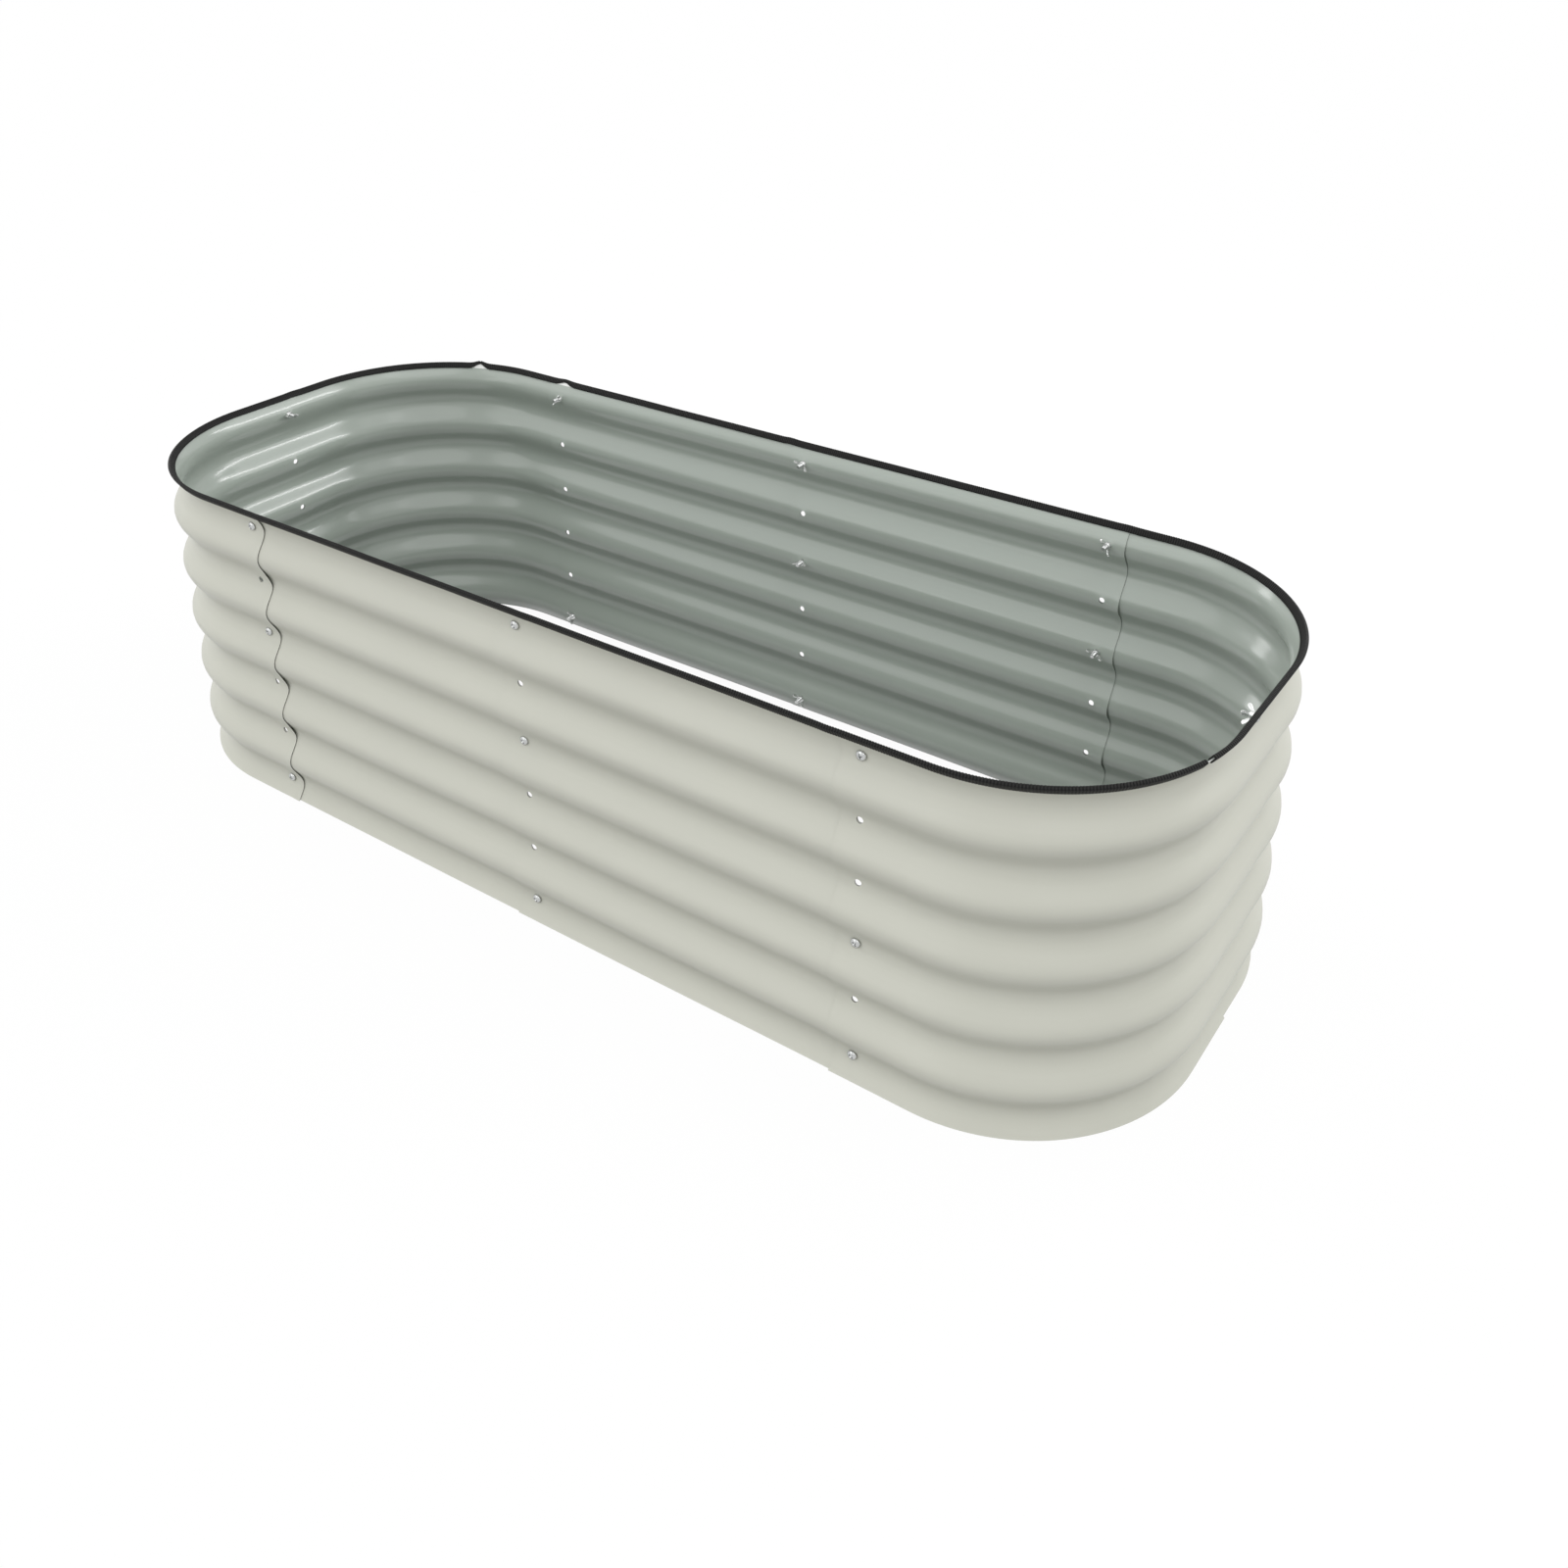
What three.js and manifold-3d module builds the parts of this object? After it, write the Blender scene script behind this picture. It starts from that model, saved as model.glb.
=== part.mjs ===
// A raised garden bed. Four curved and four straight panels of corrugated sheet steel lap over one
// another and are bolted into a rounded rectangle, open at the top and at the bottom. Rubber edging
// covers the top rim. Millimetres, +Z up, +X along the bed, the front at -Y, the origin on the
// ground in the middle of the bed.
import * as THREE from 'three';
import { mergeVertices } from 'three/addons/utils/BufferGeometryUtils.js';
import Module from 'manifold-3d';

const wasm = await Module();
wasm.setup();

// ---- Driving dimensions -------------------------------------------------------------------------

// The plan, measured over the crests of the corrugation.
const cornerRadius = 228.6;
const longArm = 76.2; // a corner panel's straight run along the side, bend to bolt column
const endArm = 76.2; // the same run along the end of the bed
const straightModule = 457.2; // one straight panel, bolt column to bolt column

// The corrugated sheet. Bolt rows lie in the valleys, one wave apart.
const boltRows = 6;
const wavePitch = 76.2;
const waveDepth = 17;
const edgeMargin = 25.4; // outermost bolt rows to the panel's top and bottom edges
const sheetThickness = 0.6;
const seatWidth = 12; // each valley floor and each crest is drawn as a flat this wide
const lapReach = 23; // a panel runs on this far past its bolt column
const lapClearance = 0.3;
const holePlay = 1; // all round a screw's shank

// Machine screws with pan heads.
const shankDiameter = 6;
const shankLength = 16;
const headDiameter = 12;
const headHeight = 3.4;

// Wing nuts.
const hubWall = 1.9; // at the base, outside the bore
const hubTopWall = 1.1;
const hubHeight = 5;
const wingSpan = 24;
const wingRise = 10;
const wingThickness = 2.2;

// Rubber edging, a U-shaped strip pushed down over the sheet's leaning top edge.
const edgingWall = 1.25; // each side of the slot
const edgingWeb = 1.3; // over the sheet's edge
const edgingHeight = 8.6;
const openJointGap = 8;
const closedJointGap = 1.5;
const openJointAngle = -17; // degrees round the front right corner
const closedJointAngle = 113; // degrees round the back left corner

// Play between pieces that touch on the real bed.
const seatClearance = 0.3;

// How finely round shapes are divided.
const arcSteps = 6;
const holeSides = 8;
const roundSides = 8;

// ---- Sizes that follow from them ----------------------------------------------------------------

const panelHeight = 2 * edgeMargin + (boltRows - 1) * wavePitch;
const bendRadius = cornerRadius - waveDepth; // on the valley line
const centreX = straightModule + longArm; // centres of the corner bends
const centreY = endArm;
const halfLength = centreX + bendRadius; // valley line
const halfWidth = centreY + bendRadius;
const outerDepth = 0; // depth of a sheet's outside below the outermost surface
const tuckedDepth = sheetThickness + lapClearance; // the same for a sheet behind another
const lapThickness = tuckedDepth + sheetThickness;
const holeDiameter = shankDiameter + 2 * holePlay;

// ---- Materials ----------------------------------------------------------------------------------

const paint = { color: 0xc6c8bc, roughness: 0.42, metalness: 0.0 };
const zinc = { color: 0xc9ccd0, roughness: 0.3, metalness: 0.9 };
const rubber = { color: 0x2b2b29, roughness: 0.75, metalness: 0.0 };

function namedMesh(name, geometry, finish) {
  const mesh = new THREE.Mesh(geometry, new THREE.MeshStandardMaterial(finish));
  mesh.name = name;
  return mesh;
}

// ---- Joining and cutting ------------------------------------------------------------------------

function toSolid(geometry) {
  const bare = geometry.clone();
  bare.deleteAttribute('normal');
  bare.deleteAttribute('uv');
  const merged = mergeVertices(bare, 1e-4);
  const vertProperties = new Float32Array(merged.attributes.position.array);
  const triVerts = new Uint32Array(merged.index.array);
  return new wasm.Manifold(new wasm.Mesh({ numProp: 3, vertProperties, triVerts }));
}

function toGeometry(solid) {
  const mesh = solid.getMesh();
  const geometry = new THREE.BufferGeometry();
  geometry.setAttribute('position', new THREE.BufferAttribute(mesh.vertProperties, 3));
  geometry.setIndex(new THREE.BufferAttribute(mesh.triVerts, 1));
  geometry.computeVertexNormals();
  return geometry;
}

// ---- The corrugation ----------------------------------------------------------------------------

// How far the outside surface stands out from the valley line at a height above the ground.
function waveOut(z) {
  return (waveDepth / 2) * (1 - Math.cos((2 * Math.PI * (z - edgeMargin)) / wavePitch));
}

function waveSlope(z) {
  return ((Math.PI * waveDepth) / wavePitch) * Math.sin((2 * Math.PI * (z - edgeMargin)) / wavePitch);
}

// The profile as points { z, out, slope }, bottom to top. Valley floors and crests are flats, and
// the webs between them bend once, at half depth.
function waveProfile() {
  const flat = seatWidth / 2;
  const half = wavePitch / 2;
  const floorOut = waveOut(edgeMargin + flat) / 2;
  const shape = [
    { from: -flat, out: floorOut, slope: 0 },
    { from: flat, out: floorOut, slope: 0 },
    { from: half / 2, out: waveDepth / 2, slope: waveSlope(edgeMargin + half / 2) },
    { from: half - flat, out: waveDepth, slope: 0 },
    { from: half + flat, out: waveDepth, slope: 0 },
    { from: 1.5 * half, out: waveDepth / 2, slope: waveSlope(edgeMargin + 1.5 * half) },
  ];
  const edge = (z) => ({ z, out: waveOut(z), slope: waveSlope(z) });
  const points = [edge(0)];
  for (let wave = -1 - Math.ceil(edgeMargin / wavePitch); wave * wavePitch < panelHeight; wave += 1) {
    for (const { from, out, slope } of shape) {
      const z = edgeMargin + wave * wavePitch + from;
      const clear = flat / 2;
      if (z > clear && z < panelHeight - clear) points.push({ z, out, slope });
    }
  }
  points.push(edge(panelHeight));
  return points;
}

const profile = waveProfile();

// A surface this deep below the outermost one, measured square to the sheet.
function surfaceOut(point, depth) {
  return point.out - depth * Math.hypot(1, point.slope);
}

const seatOut = waveOut(edgeMargin + seatWidth / 2) / 2; // the valley floor, where screws seat

// ---- The plan -----------------------------------------------------------------------------------

// A station is a place on the valley line with its outward direction and the sheet's depth there.
function station(x, y, angle, depth) {
  return { x, y, outX: Math.cos(angle), outY: Math.sin(angle), depth };
}

function between(a, b, share) {
  const mix = (key) => a[key] + (b[key] - a[key]) * share;
  return { x: mix('x'), y: mix('y'), outX: mix('outX'), outY: mix('outY'), depth: mix('depth') };
}

// Counter-clockwise stations round a bend that starts at a quarter turn, with a straight run of
// the given length before and after it.
function bendStations(startAngle, runBefore, runAfter, startDepth, endDepth) {
  const quarter = Math.PI / 2;
  const middle = startAngle + quarter / 2;
  const cx = Math.sign(Math.cos(middle)) * centreX;
  const cy = Math.sign(Math.sin(middle)) * centreY;
  const stations = [];
  for (let step = 0; step <= arcSteps; step += 1) {
    const share = step / arcSteps;
    const angle = startAngle + quarter * share;
    const x = cx + bendRadius * Math.cos(angle);
    const y = cy + bendRadius * Math.sin(angle);
    stations.push(station(x, y, angle, startDepth + (endDepth - startDepth) * share));
  }
  const along = (place, distance) => ({
    ...place,
    x: place.x - place.outY * distance,
    y: place.y + place.outX * distance,
  });
  if (runBefore > 0) stations.unshift(along(stations[0], -runBefore));
  if (runAfter > 0) stations.push(along(stations[stations.length - 1], runAfter));
  return stations;
}

// ---- Panels -------------------------------------------------------------------------------------

// A closed corrugated sheet: the wave profile swept through the stations, as an outside and an
// inside surface joined round the four edges.
function sweptSheet(stations) {
  const rows = profile.length;
  const columns = stations.length;
  const positions = [];
  for (const skin of [0, sheetThickness]) {
    for (const place of stations) {
      for (const point of profile) {
        const out = surfaceOut(point, place.depth + skin);
        positions.push(place.x + place.outX * out, place.y + place.outY * out, point.z);
      }
    }
  }
  const outside = (column, row) => column * rows + row;
  const inside = (column, row) => (columns + column) * rows + row;
  const index = [];
  const quad = (a, b, c, d) => index.push(a, b, c, a, c, d);
  for (let c = 0; c < columns - 1; c += 1) {
    for (let r = 0; r < rows - 1; r += 1) {
      quad(outside(c, r), outside(c + 1, r), outside(c + 1, r + 1), outside(c, r + 1));
      quad(inside(c, r), inside(c, r + 1), inside(c + 1, r + 1), inside(c + 1, r));
    }
    quad(inside(c, 0), inside(c + 1, 0), outside(c + 1, 0), outside(c, 0));
    const top = rows - 1;
    quad(outside(c, top), outside(c + 1, top), inside(c + 1, top), inside(c, top));
  }
  for (let r = 0; r < rows - 1; r += 1) {
    const last = columns - 1;
    quad(outside(0, r), outside(0, r + 1), inside(0, r + 1), inside(0, r));
    quad(inside(last, r), inside(last, r + 1), outside(last, r + 1), outside(last, r));
  }
  const geometry = new THREE.BufferGeometry();
  geometry.setAttribute('position', new THREE.Float32BufferAttribute(positions, 3));
  geometry.setIndex(index);
  return geometry;
}

// The eight bolt columns, as a place on the valley line and the outward direction in degrees.
const columns = {
  front_left: { x: -straightModule, y: -halfWidth, facing: -90 },
  front_middle: { x: 0, y: -halfWidth, facing: -90 },
  front_right: { x: straightModule, y: -halfWidth, facing: -90 },
  right_end: { x: halfLength, y: 0, facing: 0 },
  back_right: { x: straightModule, y: halfWidth, facing: 90 },
  back_middle: { x: 0, y: halfWidth, facing: 90 },
  back_left: { x: -straightModule, y: halfWidth, facing: 90 },
  left_end: { x: -halfLength, y: 0, facing: 180 },
};

function rowHeight(row) {
  return panelHeight - edgeMargin - (row - 1) * wavePitch; // row 1 is the top one
}

// Cuts the bolt holes of the named columns through a sheet.
function drilledPanel(stations, columnNames) {
  let panel = toSolid(sweptSheet(stations));
  const reach = 2 * waveDepth;
  for (const name of columnNames) {
    const { x, y, facing } = columns[name];
    for (let row = 1; row <= boltRows; row += 1) {
      const drill = new THREE.CylinderGeometry(holeDiameter / 2, holeDiameter / 2, reach, holeSides);
      drill.rotateY(Math.PI / holeSides);
      drill.rotateZ(Math.PI / 2);
      drill.rotateZ(THREE.MathUtils.degToRad(facing));
      drill.translate(x, y, rowHeight(row));
      panel = panel.subtract(toSolid(drill));
    }
  }
  return toGeometry(panel);
}

// Straight panels are the same piece on both sides. One laps under its neighbours at both ends.
// The other comes out from under the corner panel and flexes to lie outside at the middle.
function straightStations(fromX, toX, startDepth, endDepth) {
  const facing = -Math.PI / 2;
  return [
    station(fromX - lapReach, -halfWidth, facing, startDepth),
    station(toX + lapReach, -halfWidth, facing, endDepth),
  ];
}

const tuckedStraight = drilledPanel(
  straightStations(-straightModule, 0, tuckedDepth, tuckedDepth),
  ['front_left', 'front_middle'],
);
const steppedStraight = drilledPanel(
  straightStations(0, straightModule, outerDepth, tuckedDepth),
  ['front_middle', 'front_right'],
);

// Corner panels are one piece too. Each lies over the straight panel beside it. At the ends of the
// bed one corner laps over the other, and the one below draws in round its bend.
const sideRun = longArm + lapReach;
const endRun = endArm + lapReach;
const outerCorner = drilledPanel(
  bendStations(-Math.PI / 2, sideRun, endRun, outerDepth, outerDepth),
  ['front_right', 'right_end'],
);
const tuckedCorner = drilledPanel(
  bendStations(Math.PI, endRun, sideRun, tuckedDepth, outerDepth),
  ['left_end', 'front_left'],
);

// The back half of the bed is the front half turned half round.
function panelPair(frontName, backName, geometry) {
  const front = namedMesh(frontName, geometry, paint);
  const back = namedMesh(backName, geometry, paint);
  back.rotation.z = Math.PI;
  return [front, back];
}

// ---- Screws and wing nuts -----------------------------------------------------------------------

// Both are turned about their own axis, which points outward along +X once they are laid down.
function turned(points, sides) {
  const outline = points.map(([radius, along]) => new THREE.Vector2(radius, along));
  return new THREE.LatheGeometry(outline, sides);
}

function layDown(geometry) {
  return geometry.rotateZ(-Math.PI / 2);
}

// The underside of the head is at 0, the shank runs inward from it.
function screwGeometry() {
  const shank = shankDiameter / 2;
  const head = headDiameter / 2;
  const outline = [
    [0, -shankLength],
    [shank, -shankLength],
    [shank, 0],
    [head, 0],
    [head, headHeight * 0.4],
    [head * 0.68, headHeight * 0.88],
    [0, headHeight],
  ];
  return layDown(turned(outline, roundSides));
}

// The base is at 0 and the wings rise inward. The wings leave the hub at its sides and flare.
function wingNutGeometry() {
  const bore = shankDiameter / 2 + seatClearance;
  const hub = turned(
    [
      [bore, 0],
      [bore, -hubHeight],
      [bore + hubTopWall, -hubHeight],
      [bore + hubWall, 0],
      [bore, 0],
    ],
    roundSides,
  );
  let nut = toSolid(hub);
  const root = bore + hubTopWall / 2;
  const tip = wingSpan / 2;
  for (const side of [-1, 1]) {
    const outline = new THREE.Shape();
    outline.moveTo(root, -hubHeight * 0.25);
    outline.lineTo(root, -hubHeight * 0.9);
    outline.lineTo(tip * 0.62, -wingRise);
    outline.lineTo(tip * 0.86, -wingRise);
    outline.lineTo(tip, -wingRise * 0.78);
    outline.lineTo(tip * 0.72, -wingRise * 0.4);
    outline.closePath();
    const wing = new THREE.ExtrudeGeometry(outline, { depth: wingThickness, bevelEnabled: false });
    wing.translate(0, 0, -wingThickness / 2);
    if (side < 0) wing.rotateY(Math.PI);
    nut = nut.add(toSolid(wing));
  }
  return layDown(toGeometry(nut));
}

const screwShape = screwGeometry();
const wingNutShape = wingNutGeometry();

// Which rows are bolted, row 1 at the top, and how far round each wing nut was left, in degrees.
const bolted = {
  front_left: { 1: 20, 3: -35, 6: 60 },
  front_middle: { 1: -15, 3: 50, 6: 10 },
  front_right: { 1: 75, 4: -40, 6: 25 },
  right_end: { 1: 42, 4: -20, 6: 65 },
  back_right: { 1: 56, 3: 23, 6: -30 },
  back_middle: { 1: 28, 3: -8, 6: 45 },
  back_left: { 1: -54, 6: 73 },
  left_end: { 1: 10, 4: 35, 6: -25 },
};

function columnFasteners(name) {
  const { x, y, facing } = columns[name];
  const column = new THREE.Group();
  column.position.set(x, y, 0);
  column.rotation.z = THREE.MathUtils.degToRad(facing);
  for (const [row, turn] of Object.entries(bolted[name])) {
    const screw = namedMesh(`screw_${name}_row_${row}`, screwShape, zinc);
    screw.position.set(seatOut + seatClearance, 0, rowHeight(Number(row)));
    column.add(screw);
    const nut = namedMesh(`wing_nut_${name}_row_${row}`, wingNutShape, zinc);
    nut.position.set(seatOut - lapThickness - seatClearance, 0, rowHeight(Number(row)));
    nut.rotation.x = THREE.MathUtils.degToRad(turn);
    column.add(nut);
  }
  return column;
}

// ---- Rubber edging ------------------------------------------------------------------------------

// The U in the plane { out, z }, open downwards, leaning with the sheet's top edge. Its slot takes
// two lapped sheets, their play and what the wave bows within the strip's depth.
function edgingSection() {
  const rim = profile[profile.length - 1];
  const legDepth = edgingHeight - edgingWeb - seatClearance;
  const lean = Math.atan2(rim.out - waveOut(rim.z - legDepth), legDepth);
  const up = new THREE.Vector2(Math.sin(lean), Math.cos(lean));
  const across = new THREE.Vector2(Math.cos(lean), -Math.sin(lean));
  const slotHalf = lapThickness / 2 + seatClearance;
  const wideHalf = slotHalf + edgingWall;
  const corner = new THREE.Vector2(rim.out, rim.z);
  const middle = corner.clone().addScaledVector(across, -lapThickness / 2);
  const place = (side, height) =>
    middle.clone().addScaledVector(across, side).addScaledVector(up, height);
  const roof = seatClearance + edgingWeb;
  const round = edgingWeb * 0.7;
  return [
    place(wideHalf, roof - edgingHeight),
    place(wideHalf, roof - round),
    place(wideHalf - round, roof),
    place(round - wideHalf, roof),
    place(-wideHalf, roof - round),
    place(-wideHalf, roof - edgingHeight),
    place(-slotHalf, roof - edgingHeight),
    place(-slotHalf, seatClearance),
    place(slotHalf, seatClearance),
    place(slotHalf, roof - edgingHeight),
  ];
}

// Stations along the rim, counter-clockwise, between two plan angles in degrees.
function rimStations(fromDegrees, toDegrees) {
  const around = [];
  for (let bend = -1; bend < 5; bend += 1) {
    const stations = bendStations((bend * Math.PI) / 2, 0, 0, outerDepth, outerDepth);
    stations.forEach((place, step) => around.push({ place, angle: 90 * (bend + step / arcSteps) }));
  }
  const at = (degrees) => {
    const after = around.findIndex(({ angle }) => angle > degrees);
    const [a, b] = [around[after - 1], around[after]];
    return between(a.place, b.place, (degrees - a.angle) / (b.angle - a.angle));
  };
  const inner = around.filter(({ angle }) => angle > fromDegrees && angle < toDegrees);
  return [at(fromDegrees), ...inner.map(({ place }) => place), at(toDegrees)];
}

function sweptSection(section, stations) {
  const points = section.length;
  const positions = [];
  for (const place of stations) {
    for (const { x: out, y: z } of section) {
      positions.push(place.x + place.outX * out, place.y + place.outY * out, z);
    }
  }
  const index = [];
  for (let s = 0; s < stations.length - 1; s += 1) {
    for (let p = 0; p < points; p += 1) {
      const next = (p + 1) % points;
      const [a, b] = [s * points + p, s * points + next];
      index.push(a, a + points, b + points, a, b + points, b);
    }
  }
  const caps = THREE.ShapeUtils.triangulateShape(section, []);
  const last = (stations.length - 1) * points;
  for (const [a, b, c] of caps) {
    index.push(a, b, c);
    index.push(last + a, last + c, last + b);
  }
  const geometry = new THREE.BufferGeometry();
  geometry.setAttribute('position', new THREE.Float32BufferAttribute(positions, 3));
  geometry.setIndex(index);
  geometry.computeVertexNormals();
  return geometry;
}

function edgingStrips() {
  const section = edgingSection();
  const degrees = (gap) => THREE.MathUtils.radToDeg(gap / 2 / bendRadius);
  const open = degrees(openJointGap);
  const closed = degrees(closedJointGap);
  const right = rimStations(openJointAngle + open, closedJointAngle - closed);
  const left = rimStations(closedJointAngle + closed, openJointAngle + 360 - open);
  return [
    namedMesh('edging_strip_right', sweptSection(section, right), rubber),
    namedMesh('edging_strip_left', sweptSection(section, left), rubber),
  ];
}

// ---- The bed ------------------------------------------------------------------------------------

const bed = new THREE.Group();
bed.add(...panelPair('front_right_corner_panel', 'back_left_corner_panel', outerCorner));
bed.add(...panelPair('front_left_corner_panel', 'back_right_corner_panel', tuckedCorner));
bed.add(...panelPair('front_left_side_panel', 'back_right_side_panel', tuckedStraight));
bed.add(...panelPair('front_right_side_panel', 'back_left_side_panel', steppedStraight));
for (const name of Object.keys(columns)) bed.add(columnFasteners(name));
bed.add(...edgingStrips());

export default bed;
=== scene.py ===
"""The looks of a raised garden bed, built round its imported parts. Metres, +Z up, the front at -Y.

Corrugated sheet panels, their screws and wing nuts, and the rubber edging are modelled here in full
and stand for the plain solids. A place along the bed is its distance s, counter-clockwise along the
bottom of the waves from the middle of the front.
"""

import math
import random

import bmesh
import bpy
from mathutils import Matrix, Vector, noise


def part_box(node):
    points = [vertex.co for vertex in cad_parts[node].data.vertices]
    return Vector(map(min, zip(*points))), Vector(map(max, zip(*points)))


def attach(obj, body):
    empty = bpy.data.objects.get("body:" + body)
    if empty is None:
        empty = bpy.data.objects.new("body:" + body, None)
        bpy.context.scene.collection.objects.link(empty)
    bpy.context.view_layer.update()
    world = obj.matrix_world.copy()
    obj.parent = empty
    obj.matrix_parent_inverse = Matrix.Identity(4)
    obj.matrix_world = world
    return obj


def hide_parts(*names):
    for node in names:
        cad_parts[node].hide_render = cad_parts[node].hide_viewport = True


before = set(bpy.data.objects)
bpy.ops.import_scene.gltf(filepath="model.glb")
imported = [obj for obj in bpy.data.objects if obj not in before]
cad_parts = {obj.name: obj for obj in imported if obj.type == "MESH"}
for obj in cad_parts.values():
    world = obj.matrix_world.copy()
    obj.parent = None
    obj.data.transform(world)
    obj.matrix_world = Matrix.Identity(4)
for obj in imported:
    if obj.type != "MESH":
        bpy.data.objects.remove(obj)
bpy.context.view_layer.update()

MM = 0.001

# ---- Sizes --------------------------------------------------------------------------------------

# The plan and the sheet, as the parts have them.
CORNER_RADIUS = 228.6 * MM  # over the crests
ARM = 76.2 * MM  # a corner panel's straight run, bend to bolt column
MODULE = 457.2 * MM  # a straight panel, bolt column to bolt column
WAVE_PITCH = 76.2 * MM
WAVE_DEPTH = 17 * MM
EDGE_MARGIN = 25.4 * MM  # outermost bolt rows to the sheet's top and bottom edges
SHEET = 0.6 * MM
LAP_REACH = 23 * MM
LAP_PLAY = 0.3 * MM
HOLE_RADIUS = 4 * MM
PANEL_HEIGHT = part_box("front_left_side_panel")[1].z

# How rolled sheet strays, and how far the bolts draw it in round each hole.
BROAD_WAVER = 0.65 * MM
FINE_RIPPLE = 0.06 * MM
BOLT_PULL = 0.25 * MM
PULL_WIDTH = 9 * MM
PULL_HEIGHT = 7 * MM

# Screws and wing nuts.
SHANK_RADIUS = 3 * MM
SHANK_LENGTH = 16 * MM
THREAD_PITCH = 1 * MM
THREAD_DEPTH = 0.42 * MM
HEAD_RADIUS = 6 * MM
HEAD_HEIGHT = 3.4 * MM
HUB_RADIUS = 5.2 * MM
HUB_TOP_RADIUS = 4.4 * MM
HUB_HEIGHT = 5 * MM
WING_SPAN = 24 * MM
WING_RISE = 10 * MM

# Edging.
EDGING_WIDTH = 5.2 * MM
EDGING_HEIGHT = 9.6 * MM
EDGING_WEB = 1.3 * MM
RIB_PITCH = 3.0 * MM
RIB_DEPTH = 0.5 * MM
RIB_SHARE = 0.44  # of the pitch, that a rib takes up
SEAT_PLAY = 0.3 * MM
STRIP_RIDE = 0.25 * MM
STRIP_SWAY = 0.35 * MM
OPEN_JOINT_GAP = 10 * MM
CLOSED_JOINT_GAP = 1.5 * MM
OPEN_JOINT_ANGLE = -17  # degrees round the front right bend
CLOSED_JOINT_ANGLE = 113  # degrees round the back left bend

# Sizes that follow from them.
BEND_RADIUS = CORNER_RADIUS - WAVE_DEPTH
CENTRE_X = MODULE + ARM
CENTRE_Y = ARM
QUARTER = math.pi / 2 * BEND_RADIUS
CORNER_RUN = 2 * ARM + QUARTER  # bolt column to bolt column round a corner
TUCKED = SHEET + LAP_PLAY  # how deep a sheet lies behind the one that laps over it
SEAT = 0.511 * MM  # where a bolted sheet meets its fasteners, out from the valley line

# Bolt columns, as distances along the bed.
COLUMNS = {}
along = 0.0
for column, run in (
    ("front_middle", 0.0),
    ("front_right", MODULE),
    ("right_end", CORNER_RUN),
    ("back_right", CORNER_RUN),
    ("back_middle", MODULE),
    ("back_left", MODULE),
    ("left_end", CORNER_RUN),
    ("front_left", CORNER_RUN),
):
    along += run
    COLUMNS[column] = along
LOOP = along + MODULE

# Which rows are bolted, row 1 at the top, and how far round each wing nut was left, in degrees.
BOLTED = {
    "front_left": {1: 20, 3: -35, 6: 60},
    "front_middle": {1: -15, 3: 50, 6: 10},
    "front_right": {1: 75, 4: -40, 6: 25},
    "right_end": {1: 42, 4: -20, 6: 65},
    "back_right": {1: 56, 3: 23, 6: -30},
    "back_middle": {1: 28, 3: -8, 6: 45},
    "back_left": {1: -54, 6: 73},
    "left_end": {1: 10, 4: 35, 6: -25},
}
LAST_ROW = 6

scene = bpy.context.scene


# ---- The bed's line and wave --------------------------------------------------------------------


def bend_place(side_x, side_y, facing, back=0.0):
    """A place on a bend and how far before it, on the straight: x, y and the outward direction."""
    out_x, out_y = math.cos(facing), math.sin(facing)
    x = side_x * CENTRE_X + BEND_RADIUS * out_x + back * out_y
    y = side_y * CENTRE_Y + BEND_RADIUS * out_y - back * out_x
    return x, y, out_x, out_y


def bed_line(s):
    """Where the valley line is at distance s: x, y and the outward direction."""
    s %= LOOP
    facing = -math.pi / 2
    for side_x, side_y, run in (
        (1, -1, CENTRE_X),
        (1, 1, 2 * CENTRE_Y),
        (-1, 1, 2 * CENTRE_X),
        (-1, -1, 2 * CENTRE_Y),
    ):
        if s < run:
            return bend_place(side_x, side_y, facing, run - s)
        s -= run
        if s < QUARTER:
            return bend_place(side_x, side_y, facing + s / BEND_RADIUS)
        s -= QUARTER
        facing += math.pi / 2
    return bend_place(1, -1, facing, 2 * CENTRE_X - s)


def bend_distance(degrees):
    """The distance along the bed of a plan angle that lies on one of its bends."""
    quarter_turns = (degrees + 90) / 90
    whole = math.floor(quarter_turns)
    runs = (CENTRE_X, 2 * CENTRE_Y, 2 * CENTRE_X, 2 * CENTRE_Y)
    return sum(runs[: whole + 1]) + quarter_turns * QUARTER


def wave_phase(z):
    return 2 * math.pi * (z - EDGE_MARGIN) / WAVE_PITCH


def wave_out(z):
    return WAVE_DEPTH / 2 * (1 - math.cos(wave_phase(z)))


def wave_slope(z):
    return math.pi * WAVE_DEPTH / WAVE_PITCH * math.sin(wave_phase(z))


def row_height(row):
    return PANEL_HEIGHT - EDGE_MARGIN - (row - 1) * WAVE_PITCH


def unevenness(s, z):
    """How far rolled sheet strays from its true shape. Lapped sheets share it, so they nest."""
    x, y, out_x, out_y = bed_line(s)
    broad = noise.noise(Vector((x * 4, y * 4, z * 5)))
    ripple = noise.noise(Vector((x * 11 + 7, y * 11, z * 16)))
    return BROAD_WAVER * broad + FINE_RIPPLE * ripple


# ---- Making pieces ------------------------------------------------------------------------------


def new_piece(name, bm, materials):
    mesh = bpy.data.meshes.new(name)
    bm.to_mesh(mesh)
    bm.free()
    for material in materials:
        mesh.materials.append(material)
    piece = bpy.data.objects.new(name, mesh)
    scene.collection.objects.link(piece)
    return piece


def dress(piece, node):
    """The piece stands for its plain solid, which is hidden."""
    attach(piece, "root")
    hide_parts(node)


# ---- Shader nodes -------------------------------------------------------------------------------


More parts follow.
